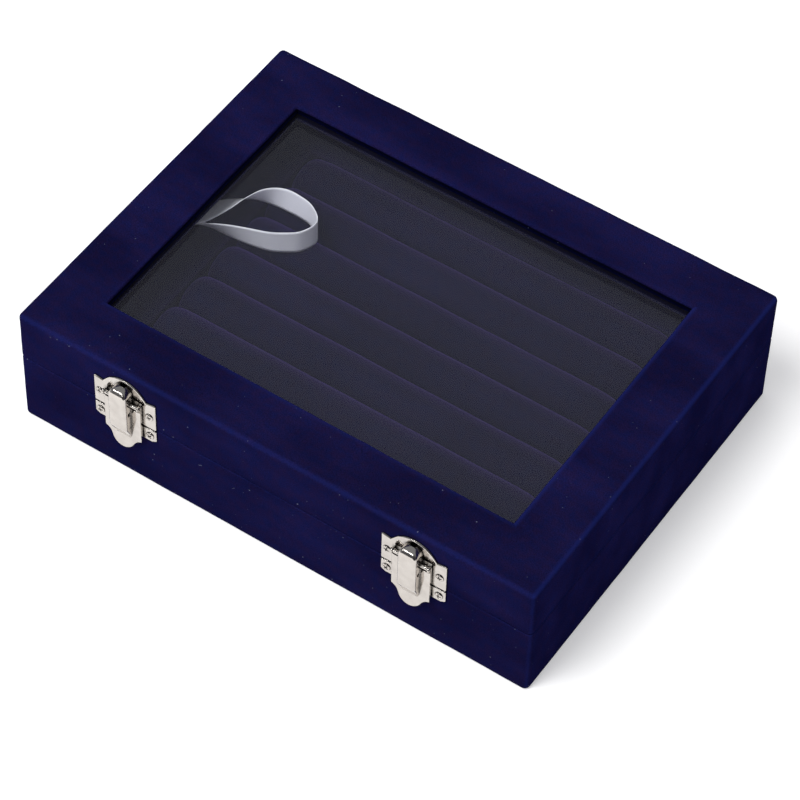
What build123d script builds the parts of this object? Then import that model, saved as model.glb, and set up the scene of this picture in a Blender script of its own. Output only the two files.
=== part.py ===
"""Velvet-covered earring box with a window in its hinged lid and two spring catches on the front.

Frame: the origin is the middle of the underside, +X runs along the front, +Y to the hinged back
and +Z up. Sizes are millimetres. The box is drawn closed.
"""

import os

from build123d import *

os.makedirs("parts", exist_ok=True)

# Overall box, with the lid closed
box_length = 200.0
box_width = 150.0
box_height = 50.0
lid_height = 20.6
parting_gap = 0.2

# Boards, cloth and glass
velvet = 1.0
felt = 0.5
wall_board = 5.0
bottom_board = 3.0
top_board = 2.0
lining = 0.6
lining_clearance = 0.15
glass_thickness = 2.0
edge_round = 2.0
rim_round = 0.8
hem_width = 14.0
felt_inset = 4.0

# Window in the lid
window_length = 158.0
window_width = 108.0
window_edge_round = 0.8
glass_overlap = 5.0
glass_clearance = 0.3
glass_frame_thickness = 1.4
glass_frame_clearance = 0.3

# Padded insert in the base
insert_clearance = 0.3
floor_card = 1.5
border_end_width = 18.1
border_side_width = 10.25
border_drop = 2.4
border_round = 1.5
roll_count = 7
roll_gap = 0.3
roll_rise = 2.2
roll_end_round = 2.5
well_clearance = 0.25

# Lift ribbon, folded into one loop that stands on its edge on the rolls
ribbon_width = 10.0
ribbon_thickness = 0.4
ribbon_clearance = 0.3
ribbon_root_y = 3.0
ribbon_slot_length = 11.0
ribbon_slot_depth = 1.5
ribbon_tail_drop = 9.0
ribbon_loop_reach = 45.0
ribbon_loop_back = 28.0
ribbon_loop_front = 7.0
ribbon_back_turn = 17.0
ribbon_front_turn = 7.0
ribbon_turn_lean = 2.0

# Butt hinges on the back
hinge_offset = 60.0
hinge_length = 18.0
hinge_leaf_height = 11.0
hinge_leaf = 0.8
hinge_corner_round = 1.0
hinge_standoff = 1.8
knuckle_radius = 1.6
knuckle_gap = 0.15
knuckle_notch = 0.25
hinge_pin_radius = 0.7
hinge_pin_clearance = 0.05
hinge_nail_spacing = 10.0
hinge_nail_rise = 7.2

# Nails and screws
nail_head_radius = 1.2
nail_head_height = 0.4
nail_radius = 0.6
nail_bite = 3.4
head_slope = 30.0
screw_head_radius = 1.5
screw_head_height = 0.5
screw_radius = 0.8
screw_bite = 3.6
fastener_clearance = 0.1

# Catches on the front: plates, measured from the middle of the catch and up from the parting line
catch_offset = 56.3
plate_thickness = 0.8
plate_half_width = 12.3
plate_split = 0.6
lid_plate_top = 17.5
lid_plate_shoulder = 14.0
lid_plate_shoulder_half = 7.2
lid_plate_notch = 12.1
lid_plate_notch_half = 8.7
lid_plate_tip = 12.8
plate_corner_round = 0.5
plate_edge_round = 0.5
base_plate_wing_bottom = -5.2
base_plate_bottom = -6.2
base_plate_curve_half = 10.6
screw_spacing = 19.9
lid_screw_height = 6.2
base_screw_height = -3.2
striker_height = 7.8
striker_radius = 0.6
striker_half = 1.0

# Catch lever, a pressed cover that rocks on a pivot in the base plate
lever_gap = 0.2
lever_sheet = 0.6
lever_face = 2.1
lever_half = 7.2
lever_top = 7.2
lever_shoulder = -7.6
lobe_half = 4.1
lobe_top = -10.6
lobe_bottom = -13.2
lobe_flare = 1.1
lobe_shoulder_rise = 0.6
lobe_bend_drop = 1.0
ridge_half = 3.5
ridge_face = 5.2
ridge_foot = -8.1
ridge_crease = -1.7
ridge_edge_round = 1.0
ridge_bend_round = 2.5
ridge_closed_foot = 1.5
flange_taper = 4.0
dome_top = 16.0
dome_round = 3.2
ridge_hole_out = 3.2
ridge_hole_height = 5.2
ridge_hole_length = 1.8
ridge_hole_width = 1.2
rod_radius = 0.7
rod_out = 2.3
rod_height = 9.6
rod_half = 7.5
ear_radius = 1.0
running_clearance = 0.04
pivot_radius = 0.55
pivot_out = 2.8
pivot_height = -1.5
pivot_ear_radius = 1.1
pivot_ear_half = 2.6
spring_thickness = 0.25
spring_half = 1.6
spring_foot = 4.4
spring_reach = 3.2
spring_inset = 0.4
spring_clearance = 0.1
pivot_end_clearance = 0.05

# Heights and sizes worked out from the values above
parting = box_height - lid_height
base_rim = parting - parting_gap / 2
lid_rim = parting + parting_gap / 2
board_length = box_length - 2 * velvet
board_width = box_width - 2 * velvet
inner_length = board_length - 2 * wall_board
inner_width = board_width - 2 * wall_board
bottom_under = felt + velvet
floor_level = bottom_under + bottom_board
base_wall_top = base_rim - velvet
lid_wall_bottom = lid_rim + velvet
top_frame_top = box_height - velvet
glass_top = top_frame_top - top_board
glass_bottom = glass_top - glass_thickness
glass_frame_bottom = glass_bottom - glass_frame_thickness
board_window_length = window_length + 2 * velvet
board_window_width = window_width + 2 * velvet
glass_length = window_length + 2 * glass_overlap
glass_width = window_width + 2 * glass_overlap
insert_floor = floor_level + floor_card
border_top = base_rim - border_drop
border_length = inner_length - 2 * lining - 2 * insert_clearance
border_width = inner_width - 2 * lining - 2 * insert_clearance
well_length = border_length - 2 * border_end_width
well_width = border_width - 2 * border_side_width
roll_length = well_length - 2 * well_clearance
roll_pitch = (well_width - 2 * well_clearance + roll_gap) / roll_count
roll_width = roll_pitch - roll_gap
roll_top = base_rim + roll_rise
front = -box_width / 2
back = box_width / 2
hinge_axis_y = back + hinge_standoff
lever_inner_face = lever_face - lever_sheet
lever_back = plate_thickness + lever_gap
overcut = 1.0


def front_sketch(x, out=0.0):
    """Plane on the front, moved out from it: its own x is +X and its own y rises from the parting."""
    return Plane(origin=(x, front - out, parting), x_dir=(1, 0, 0), z_dir=(0, -1, 0))


def back_sketch(x, out=0.0):
    """Plane on the back, moved out from it: its own x is -X and its own y rises from the parting."""
    return Plane(origin=(x, back + out, parting), x_dir=(-1, 0, 0), z_dir=(0, 1, 0))


def catch_side(x):
    """Plane across a catch: its own x is the way out from the front, its own y rises from the parting."""
    return Plane(origin=(x, front, parting), x_dir=(0, -1, 0), z_dir=(-1, 0, 0))


def block(length, width, low, high, mode=Mode.ADD):
    """A box centred on the frame's upright axis between two heights."""
    middle = (low + high) / 2
    with Locations((0, 0, middle)):
        Box(length, width, high - low, mode=mode)


def finish_piece(piece, name):
    """Gives the finished piece its name and writes it."""
    piece.part.label = name
    export_step(piece.part, f"parts/{name}.step")
    return piece


# Places of the fasteners, seen on the front and on the back
catch_places = {"left": -catch_offset, "right": catch_offset}
hinge_places = {"left": -hinge_offset, "right": hinge_offset}
screw_columns = [x + side * screw_spacing / 2 for x in catch_places.values() for side in (-1, 1)]
nail_columns = [x + side * hinge_nail_spacing / 2 for x in hinge_places.values() for side in (-1, 1)]
lid_nail_height = hinge_nail_rise
base_nail_height = -hinge_nail_rise


def drill_front(height):
    """Clearance holes for the catch screws, through everything behind the front."""
    with BuildSketch(front_sketch(0, plate_thickness)) as holes:
        with Locations(*[(x, height) for x in screw_columns]):
            Circle(screw_radius + fastener_clearance)
    depth = plate_thickness + velvet + screw_bite + fastener_clearance
    extrude(holes.sketch, amount=-depth, mode=Mode.SUBTRACT)


def drill_back(height):
    """Clearance holes for the hinge nails, through everything behind the back."""
    with BuildSketch(back_sketch(0, hinge_leaf)) as holes:
        with Locations(*[(-x, height) for x in nail_columns]):
            Circle(nail_radius + fastener_clearance)
    depth = hinge_leaf + velvet + nail_bite + fastener_clearance
    extrude(holes.sketch, amount=-depth, mode=Mode.SUBTRACT)


def long_board(name, side, low, high, drill, height):
    """A front or back board, as long as the box, drilled for its fasteners."""
    with BuildPart() as board:
        with Locations((0, side * (board_width - wall_board) / 2, (low + high) / 2)):
            Box(board_length, wall_board, high - low)
        drill(height)
    return finish_piece(board, name)


def short_board(name, side, low, high):
    """An end board, fitted between the front and back boards."""
    with BuildPart() as board:
        with Locations((side * (board_length - wall_board) / 2, 0, (low + high) / 2)):
            Box(wall_board, inner_width, high - low)
    return finish_piece(board, name)


# Boards of the base
with BuildPart() as base_bottom_board:
    block(board_length, board_width, bottom_under, floor_level)
finish_piece(base_bottom_board, "base_bottom_board")
long_board("base_front_board", -1, floor_level, base_wall_top, drill_front, base_screw_height)
long_board("base_back_board", 1, floor_level, base_wall_top, drill_back, base_nail_height)
short_board("base_left_board", -1, floor_level, base_wall_top)
short_board("base_right_board", 1, floor_level, base_wall_top)

# Velvet over the base: up the sides, over the rim, and turned under the bottom as a hem
with BuildPart() as base_cover:
    block(box_length, box_width, felt, base_rim)
    fillet(base_cover.edges().filter_by(Axis.Z), radius=edge_round)
    fillet(base_cover.faces().sort_by(Axis.Z)[0].edges(), radius=edge_round)
    fillet(base_cover.faces().sort_by(Axis.Z)[-1].edges(), radius=rim_round)
    block(board_length, board_width, bottom_under, base_wall_top, mode=Mode.SUBTRACT)
    block(inner_length, inner_width, base_wall_top, base_rim, mode=Mode.SUBTRACT)
    block(box_length - 2 * hem_width, box_width - 2 * hem_width, felt, bottom_under, mode=Mode.SUBTRACT)
    drill_front(base_screw_height)
    drill_back(base_nail_height)
finish_piece(base_cover, "base_cover")

# Felt sheet that the box stands on
with BuildPart() as base_felt:
    block(box_length - 2 * felt_inset, box_width - 2 * felt_inset, 0, felt)
    fillet(base_felt.edges().filter_by(Axis.Z), radius=edge_round)
finish_piece(base_felt, "base_felt")


def wall_lining(name, low, high):
    """A thin velvet band round the inside of the walls."""
    outer_length = inner_length - 2 * lining_clearance
    outer_width = inner_width - 2 * lining_clearance
    with BuildPart() as band:
        block(outer_length, outer_width, low, high)
        block(inner_length - 2 * lining, inner_width - 2 * lining, low, high, mode=Mode.SUBTRACT)
    return finish_piece(band, name)


wall_lining("base_lining", floor_level, base_rim)
wall_lining("lid_lining", lid_rim, glass_frame_bottom)

# Insert: a card floor, a padded border with a well, and rolls that the earrings push between
with BuildPart() as insert_floor_card:
    block(border_length, border_width, floor_level, insert_floor)
finish_piece(insert_floor_card, "insert_floor_card")

ribbon_slot_x = -border_length / 2
ribbon_slot_drop = ribbon_tail_drop + ribbon_clearance
with BuildPart() as insert_border:
    block(border_length, border_width, insert_floor, border_top)
    fillet(insert_border.faces().sort_by(Axis.Z)[-1].edges(), radius=border_round)
    block(well_length, well_width, insert_floor, border_top, mode=Mode.SUBTRACT)
    well_rim = insert_border.faces().sort_by(Axis.Z)[-1].inner_wires()[0].edges()
    fillet(well_rim, radius=border_round)
    with Locations((ribbon_slot_x, ribbon_root_y, border_top)):
        Box(2 * ribbon_slot_depth, ribbon_slot_length, 2 * ribbon_slot_drop, mode=Mode.SUBTRACT)
finish_piece(insert_border, "insert_border")


def make_roll(name, y):
    """A foam roll under velvet: straight sides, a round crown and softened ends."""
    crown = roll_width / 2
    with BuildPart() as roll:
        with BuildSketch(Plane.YZ):
            with BuildLine():
                Polyline((y - crown, roll_top - crown), (y - crown, insert_floor),
                         (y + crown, insert_floor), (y + crown, roll_top - crown))
                ThreePointArc((y + crown, roll_top - crown), (y, roll_top), (y - crown, roll_top - crown))
            make_face()
        extrude(amount=roll_length / 2, both=True)
        for end in (0, -1):
            end_edges = roll.faces().sort_by(Axis.X)[end].edges()
            fillet(end_edges.filter_by(GeomType.CIRCLE), radius=roll_end_round)
    return finish_piece(roll, name)


for number in range(roll_count):
    make_roll(f"padded_roll_{number + 1}", (number - (roll_count - 1) / 2) * roll_pitch)

# Ribbon: a tail in the border's slot, and one loop that stands on edge on the rolls
ribbon_low = roll_top + ribbon_clearance
tail_x = ribbon_slot_x + ribbon_slot_depth / 2
root = (tail_x, ribbon_root_y)
loop_tip_x = tail_x + ribbon_loop_reach
loop_middle_y = ribbon_root_y + (ribbon_loop_back + ribbon_loop_front) / 2
with BuildPart() as lift_ribbon:
    with BuildSketch(Plane.XY.offset(ribbon_low)):
        with BuildLine() as loop:
            back_turn = (loop_tip_x - ribbon_back_turn, ribbon_root_y + ribbon_loop_back)
            front_turn = (loop_tip_x - ribbon_front_turn, ribbon_root_y + ribbon_loop_front)
            Line(root, back_turn)
            ThreePointArc(back_turn, (loop_tip_x, loop_middle_y + ribbon_turn_lean), front_turn)
            Line(front_turn, root)
        make_face()
        offset(amount=-ribbon_thickness, mode=Mode.SUBTRACT)
    extrude(amount=ribbon_width)
    with BuildSketch(Plane.XY.offset(border_top - ribbon_tail_drop)):
        with Locations(root):
            Rectangle(2 * ribbon_thickness, ribbon_width)
    extrude(amount=ribbon_low + ribbon_thickness - border_top + ribbon_tail_drop)
finish_piece(lift_ribbon, "lift_ribbon")

# Boards of the lid
with BuildPart() as lid_top_frame:
    block(board_length, board_width, glass_top, top_frame_top)
    block(board_window_length, board_window_width, glass_top, top_frame_top, mode=Mode.SUBTRACT)
finish_piece(lid_top_frame, "lid_top_frame")
long_board("lid_front_board", -1, lid_wall_bottom, glass_top, drill_front, lid_screw_height)
long_board("lid_back_board", 1, lid_wall_bottom, glass_top, drill_back, lid_nail_height)
short_board("lid_left_board", -1, lid_wall_bottom, glass_top)
short_board("lid_right_board", 1, lid_wall_bottom, glass_top)

# Velvet over the lid: over the top and sides, and turned in at the window and round the rim
with BuildPart() as lid_cover:
    block(box_length, box_width, lid_rim, box_height)
    fillet(lid_cover.edges().filter_by(Axis.Z), radius=edge_round)
    fillet(lid_cover.faces().sort_by(Axis.Z)[-1].edges(), radius=edge_round)
    fillet(lid_cover.faces().sort_by(Axis.Z)[0].edges(), radius=rim_round)
    block(board_length, board_width, lid_wall_bottom, top_frame_top, mode=Mode.SUBTRACT)
    block(inner_length, inner_width, lid_rim, lid_wall_bottom, mode=Mode.SUBTRACT)
    block(board_window_length, board_window_width, glass_top, top_frame_top)
    block(window_length, window_width, glass_top, box_height, mode=Mode.SUBTRACT)
    window_rim = lid_cover.faces().sort_by(Axis.Z)[-1].inner_wires()[0].edges()
    fillet(window_rim, radius=window_edge_round)
    drill_front(lid_screw_height)
    drill_back(lid_nail_height)
finish_piece(lid_cover, "lid_cover")

# Glass under the top frame, and the velvet-covered card frame that holds it up
with BuildPart() as glass_pane:
    block(glass_length, glass_width, glass_bottom, glass_top)
    chamfer(glass_pane.edges().filter_by(Axis.Z), length=glass_clearance)
finish_piece(glass_pane, "glass_pane")

with BuildPart() as glass_frame:
    block(inner_length - 2 * glass_frame_clearance, inner_width - 2 * glass_frame_clearance,
          glass_frame_bottom, glass_top)
    block(glass_length + 2 * glass_clearance, glass_width + 2 * glass_clearance,
          glass_bottom, glass_top, mode=Mode.SUBTRACT)
    block(window_length, window_width, glass_frame_bottom, glass_bottom, mode=Mode.SUBTRACT)
finish_piece(glass_frame, "glass_frame")


def hinge_leaf_part(name, x, knuckles, rise):
    """A hinge leaf on the back: a plate, its knuckles, and notches for the other leaf's knuckles."""
    reach = knuckle_radius + knuckle_notch
    plate_middle = rise * hinge_leaf_height / 2
    with BuildPart() as leaf:
        with BuildSketch(back_sketch(x)):
            with Locations((0, plate_middle)):
                RectangleRounded(hinge_length, hinge_leaf_height, hinge_corner_round)
            with Locations((0, rise * hinge_corner_round)):
                Rectangle(hinge_length, 2 * hinge_corner_round)
        extrude(amount=hinge_leaf)
        with BuildSketch(back_sketch(x)):
            for middle, length in all_knuckles:
                if (middle, length) not in knuckles:
                    with Locations((-middle, 0)):
                        Rectangle(length + 2 * knuckle_gap, 2 * reach)
        extrude(amount=hinge_leaf, mode=Mode.SUBTRACT)
        for middle, length in knuckles:
            with BuildSketch(Plane.YZ.offset(x + middle - length / 2)):
                with Locations((hinge_axis_y, parting)):
                    Circle(knuckle_radius)
            extrude(amount=length)
        with BuildSketch(Plane.YZ.offset(x - hinge_length)):
            with Locations((hinge_axis_y, parting)):
                Circle(hinge_pin_radius + hinge_pin_clearance)
        extrude(amount=2 * hinge_length, mode=Mode.SUBTRACT)
        drill_back(lid_nail_height if rise > 0 else base_nail_height)
    return finish_piece(leaf, name)


knuckle_length = hinge_length / 3
side_knuckle = (hinge_length - knuckle_length) / 2
all_knuckles = [(-side_knuckle, knuckle_length - 2 * knuckle_gap), (0, knuckle_length),
                (side_knuckle, knuckle_length - 2 * knuckle_gap)]

for side, x in hinge_places.items():
    hinge_leaf_part(f"hinge_{side}_base_leaf", x, [all_knuckles[0], all_knuckles[2]], -1)
    hinge_leaf_part(f"hinge_{side}_lid_leaf", x, [all_knuckles[1]], 1)
    with BuildPart() as hinge_pin:
        with BuildSketch(Plane.YZ.offset(x - hinge_length / 2)):
            with Locations((hinge_axis_y, parting)):
                Circle(hinge_pin_radius)
        extrude(amount=hinge_length)
    finish_piece(hinge_pin, f"hinge_{side}_pin")


def fastener_group(name, plane, places, head_radius, head_height, shank_radius, shank_length):
    """Separate nails or screws: each a low domed head on the metal, and a shank into the board."""
    with BuildPart() as group:
        with BuildSketch(plane):
            with Locations(*places):
                Circle(head_radius)
        extrude(amount=head_height, taper=head_slope)
        with BuildSketch(plane):
            with Locations(*places):
                Circle(shank_radius)
        extrude(amount=-shank_length)
    return finish_piece(group, name)


for body, height in (("lid", lid_screw_height), ("base", base_screw_height)):
    fastener_group(f"{body}_catch_screws", front_sketch(0, plate_thickness),
                   [(x, height) for x in screw_columns], screw_head_radius, screw_head_height,
                   screw_radius, plate_thickness + velvet + screw_bite)
for body, height in (("lid", lid_nail_height), ("base", base_nail_height)):
    fastener_group(f"{body}_hinge_nails", back_sketch(0, hinge_leaf),
                   [(-x, height) for x in nail_columns], nail_head_radius, nail_head_height,
                   nail_radius, hinge_leaf + velvet + nail_bite)


def wing_corners(plate):
    """The upright corners at the two ends of a catch plate."""
    corners = plate.edges().filter_by(Axis.Y).group_by(Axis.X)
    return corners[0] + corners[-1]


def make_lid_plate(name, x):
    """The catch's plate on the lid: a bowed top between two pointed wings, and a low striker."""
    low = plate_split / 2
    with BuildPart() as plate:
        with BuildSketch(front_sketch(x)):
            with BuildLine():
                ThreePointArc((-lid_plate_shoulder_half, lid_plate_shoulder), (0, lid_plate_top),
                              (lid_plate_shoulder_half, lid_plate_shoulder))
                Polyline((lid_plate_shoulder_half, lid_plate_shoulder),
                         (lid_plate_notch_half, lid_plate_notch), (plate_half_width, lid_plate_tip),
                         (plate_half_width, low), (-plate_half_width, low),
                         (-plate_half_width, lid_plate_tip), (-lid_plate_notch_half, lid_plate_notch),
                         (-lid_plate_shoulder_half, lid_plate_shoulder))
            make_face()
        extrude(amount=plate_thickness)
        fillet(wing_corners(plate), radius=plate_corner_round)
        fillet(plate.faces().sort_by(Axis.Y)[0].edges(), radius=plate_edge_round)
        with BuildSketch(catch_side(x)):
            with Locations((plate_thickness, striker_height)):
                Circle(striker_radius)
            with Locations((0, striker_height)):
                Rectangle(2 * plate_thickness, 4 * striker_radius, mode=Mode.SUBTRACT)
        extrude(amount=striker_half, both=True)
        drill_front(lid_screw_height)
    return finish_piece(plate, name)


def make_base_plate(name, x):
    """The catch's plate on the base, with two ears that carry the lever's pivot."""
    high = -plate_split / 2
    ear = pivot_ear_half - lever_sheet
    with BuildPart() as plate:
        with BuildSketch(front_sketch(x)):
            with BuildLine():
                Polyline((-base_plate_curve_half, base_plate_bottom),
                         (-plate_half_width, base_plate_wing_bottom), (-plate_half_width, high),
                         (plate_half_width, high), (plate_half_width, base_plate_wing_bottom),
                         (base_plate_curve_half, base_plate_bottom),
                         (-base_plate_curve_half, base_plate_bottom))
            make_face()
        extrude(amount=plate_thickness)
        fillet(wing_corners(plate), radius=plate_corner_round)
        fillet(plate.faces().sort_by(Axis.Y)[0].edges(), radius=plate_edge_round)
        with BuildSketch(catch_side(x)):
            with Locations((pivot_out, pivot_height)):
                Circle(pivot_ear_radius)
            with Locations((pivot_out / 2, pivot_height)):
                Rectangle(pivot_out, 2 * pivot_ear_radius)
            with Locations((pivot_out, pivot_height)):
                Circle(pivot_radius + running_clearance, mode=Mode.SUBTRACT)
        extrude(amount=pivot_ear_half, both=True)
        with BuildSketch(catch_side(x)):
            with Locations((plate_thickness + pivot_out, pivot_height)):
                Rectangle(2 * pivot_out, 4 * pivot_ear_radius)
        extrude(amount=ear, both=True, mode=Mode.SUBTRACT)
        drill_front(base_screw_height)
    return finish_piece(plate, name)


def ridge_form(x, outline, half, top_round, corner_round):
    """A block with the ridge's outline from the side. The bend over its foot is eased and its top
    rounded over at the front and both sides, and then its front corners are rounded into the dome."""
    with BuildPart() as form:
        with BuildSketch(catch_side(x)):
            with BuildLine():
                Polyline(*outline)
            make_face()
        extrude(amount=half, both=True)
        front_face = form.faces().sort_by(Axis.Y)[0]
        fillet(front_face.edges().sort_by(Axis.Z)[0], radius=ridge_bend_round)
        top = form.faces().sort_by(Axis.Z)[-1].edges()
        fillet(top.filter_by(Axis.Y) + top.filter_by(Axis.X).sort_by(Axis.Y)[:1], radius=top_round)
        side_faces = form.faces().sort_by(Axis.X)
        side_edges = side_faces[0].edges() + side_faces[-1].edges()
        corners = side_edges.filter_by_position(Axis.Y, front - ridge_face, front - lever_face)
        fillet(corners + form.edges().filter_by(GeomType.ELLIPSE), radius=corner_round)
    return form.part


def make_lever(name, x):
    """The catch's lever: a flat cover with a finger lobe, a raised ridge that ends in a dome,
    and two side flanges whose ears hold the rod."""
    lobe_bend = lever_shoulder - lobe_bend_drop
    lobe_end = lobe_bottom - lobe_bend_drop
    wall_inner = ridge_half - lever_sheet
    inner_crease = ridge_face - lever_sheet
    inner_top = dome_top - lever_sheet
    inner_foot = ridge_foot + ridge_closed_foot
    open_back = lever_back - overcut
    ridge = ridge_form(x, [(lever_inner_face, lever_top), (lever_inner_face, ridge_foot),
                           (lever_face, ridge_foot), (ridge_face, ridge_crease),
                           (ridge_face, dome_top), (lever_back, dome_top),
                           (lever_back, lever_top), (lever_inner_face, lever_top)],
                       ridge_half, dome_round, ridge_edge_round)
    hollow = ridge_form(x, [(open_back, inner_foot), (lever_inner_face, inner_foot),
                            (inner_crease, ridge_crease), (inner_crease, inner_top),
                            (open_back, inner_top), (open_back, inner_foot)],
                        wall_inner, dome_round - lever_sheet, ridge_edge_round - lever_sheet)
    with BuildPart() as lever:
        # cover sheet, bent out at the lobe
        with BuildSketch(catch_side(x)):
            with BuildLine():
                Polyline((lever_inner_face, lever_top), (lever_inner_face, lobe_bend),
                         (lever_inner_face + lobe_flare, lobe_end), (lever_face + lobe_flare, lobe_end),
                         (lever_face, lobe_bend), (lever_face, lever_top),
                         (lever_inner_face, lever_top))
            make_face()
        extrude(amount=lever_half, both=True)
        with BuildSketch(front_sketch(x)):
            with BuildLine():
                ThreePointArc((-lobe_half, lobe_top), (0, lobe_bottom), (lobe_half, lobe_top))
                ogee = ((lobe_half + lever_half) / 2,
                        (lobe_top + lever_shoulder) / 2 + lobe_shoulder_rise)
                ThreePointArc((lobe_half, lobe_top), ogee, (lever_half, lever_shoulder))
                Polyline((lever_half, lever_shoulder), (lever_half, lever_top),
                         (-lever_half, lever_top), (-lever_half, lever_shoulder))
                ThreePointArc((-lever_half, lever_shoulder), (-ogee[0], ogee[1]), (-lobe_half, lobe_top))
            make_face()
        extrude(amount=lever_face + 2 * lobe_flare, mode=Mode.INTERSECT)
        # side flanges and ears
        with BuildSketch(catch_side(x)):
            with BuildLine():
                Polyline((lever_inner_face, lever_shoulder), (lever_face, lever_shoulder),
                         (lever_face, lever_top), (rod_out + ear_radius, rod_height),
                         (lever_back, rod_height), (lever_back, base_plate_bottom + flange_taper),
                         (lever_inner_face, base_plate_bottom), (lever_inner_face, lever_shoulder))
            make_face()
            with Locations((rod_out, rod_height)):
                Circle(ear_radius)
        extrude(amount=lever_half, both=True)
        with BuildSketch(catch_side(x)):
            with Locations((rod_out, (lever_top + dome_top) / 2)):
                Rectangle(2 * (ear_radius + overcut), dome_top - lever_top)
        extrude(amount=lever_half - lever_sheet, both=True, mode=Mode.SUBTRACT)
        with BuildSketch(catch_side(x)):
            with Locations(((lever_back + lever_inner_face) / 2, (lever_shoulder + lever_top) / 2)):
                Rectangle(lever_inner_face - lever_back, lever_top - lever_shoulder + 2 * overcut)
        extrude(amount=lever_half - lever_sheet, both=True, mode=Mode.SUBTRACT)
        add(ridge)
        add(hollow, mode=Mode.SUBTRACT)
        # bores for the rod and the pivot, a hole in each wall of the ridge, and a way for the striker
        with BuildSketch(catch_side(x)):
            with Locations((rod_out, rod_height)):
                Circle(rod_radius + running_clearance)
            with Locations((pivot_out, pivot_height)):
                Circle(pivot_radius + running_clearance)
        extrude(amount=2 * lever_half, both=True, mode=Mode.SUBTRACT)
        with BuildSketch(catch_side(x)):
            with Locations((ridge_hole_out, ridge_hole_height)):
                SlotOverall(ridge_hole_length, ridge_hole_width, rotation=90)
        extrude(amount=ridge_half + overcut, both=True, mode=Mode.SUBTRACT)
        with BuildSketch(catch_side(x)):
            with Locations((lever_back, dome_top)):
                Rectangle(2 * (striker_radius + lever_gap), 2 * (lever_sheet + overcut))
        extrude(amount=striker_half + lever_gap, both=True, mode=Mode.SUBTRACT)
    return finish_piece(lever, name)


def make_round_bar(name, x, out, height, radius, half):
    """A straight round bar across a catch."""
    with BuildPart() as bar:
        with BuildSketch(catch_side(x)):
            with Locations((out, height)):
                Circle(radius)
        extrude(amount=half, both=True)
    return finish_piece(bar, name)


def make_spring(name, x):
    """A leaf spring: its foot lies on the base plate and its tongue presses the lobe out."""
    foot_low = base_plate_bottom + spring_inset
    tongue_out = lever_inner_face - spring_thickness - spring_clearance
    tongue_low = foot_low - spring_reach
    with BuildPart() as spring:
        with BuildSketch(catch_side(x)):
            with BuildLine():
                Polyline((plate_thickness, foot_low + spring_foot), (plate_thickness, foot_low),
                         (tongue_out, tongue_low), (tongue_out + spring_thickness, tongue_low),
                         (plate_thickness + spring_thickness, foot_low),
                         (plate_thickness + spring_thickness, foot_low + spring_foot),
                         (plate_thickness, foot_low + spring_foot))
            make_face()
        extrude(amount=spring_half, both=True)
    return finish_piece(spring, name)


for side, x in catch_places.items():
    make_lid_plate(f"catch_{side}_lid_plate", x)
    make_base_plate(f"catch_{side}_base_plate", x)
    make_lever(f"catch_{side}_lever", x)
    make_round_bar(f"catch_{side}_rod", x, rod_out, rod_height, rod_radius, rod_half)
    make_round_bar(f"catch_{side}_pivot", x, pivot_out, pivot_height, pivot_radius,
                   ridge_half - pivot_end_clearance)
    make_spring(f"catch_{side}_spring", x)
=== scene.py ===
# %% [markdown]
# # A velvet-covered earring box
# The imported model gives every board, hinge and catch at its real size. Blender's work is what the
# eye meets first: the nap of the velvet, the padded rolls, the satin ribbon, the glass and the nickel.
# The frame is loaded as it is.

# %% Load the fixed frame
import math

import bpy
import numpy as np
from mathutils import Matrix, Vector


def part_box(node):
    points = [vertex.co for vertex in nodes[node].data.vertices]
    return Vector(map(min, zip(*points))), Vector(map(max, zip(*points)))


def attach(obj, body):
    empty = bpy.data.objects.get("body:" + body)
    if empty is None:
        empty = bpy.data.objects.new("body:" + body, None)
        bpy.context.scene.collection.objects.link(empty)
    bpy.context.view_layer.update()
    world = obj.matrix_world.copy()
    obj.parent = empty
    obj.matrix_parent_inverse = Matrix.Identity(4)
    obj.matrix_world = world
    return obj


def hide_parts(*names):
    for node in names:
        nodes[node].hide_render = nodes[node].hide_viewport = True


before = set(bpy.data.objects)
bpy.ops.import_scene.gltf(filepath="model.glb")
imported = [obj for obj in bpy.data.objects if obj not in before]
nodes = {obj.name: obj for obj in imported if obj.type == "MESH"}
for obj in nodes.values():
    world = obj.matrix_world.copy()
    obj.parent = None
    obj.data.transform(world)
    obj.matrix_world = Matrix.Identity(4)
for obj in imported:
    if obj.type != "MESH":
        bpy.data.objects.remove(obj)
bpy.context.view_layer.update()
mm = 0.001

# %% [markdown]
# The camera stands to the right of the box's front corner and looks down about fifty degrees. A long
# lens far away keeps the edges nearly parallel, as in a catalogue picture. A camera's own axes are
# right, up and back, so three directions written as columns turn it, small roll included.

# %% Set the camera
camera_place = Vector((0.4140, -0.6500, 0.9405))
camera_right = Vector((0.829491, 0.558100, 0.021636))
camera_up = Vector((-0.443073, 0.633955, 0.633868))
camera_back = Vector((0.340045, -0.535374, 0.773139))
camera = bpy.data.objects.new("camera", bpy.data.cameras.new("camera"))
bpy.context.scene.collection.objects.link(camera)
turn = Matrix((camera_right, camera_up, camera_back)).transposed()
camera.matrix_world = Matrix.Translation(camera_place) @ turn.to_4x4()
camera.data.sensor_width = 36.0
camera.data.lens = 162.1
camera.data.clip_start = 0.05
camera.data.clip_end = 20.0
bpy.context.scene.camera = camera
print("camera", round(camera_place.length, 3), "m from the box")

# %% [markdown]
# A shop photograph of a dark box needs a white table, soft lamps and a plain room, since the glass
# and the nickel show the room as much as their own colour. A broad lamp hangs high on the left, a weak
# one fills the front, and a thin one puts a streak in the metal. The room lights the cloth all round.
# Only mirrors see the dark side where the photographer stands, as they would see a black card held
# up there: bright metal takes its dark shapes from it.

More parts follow.
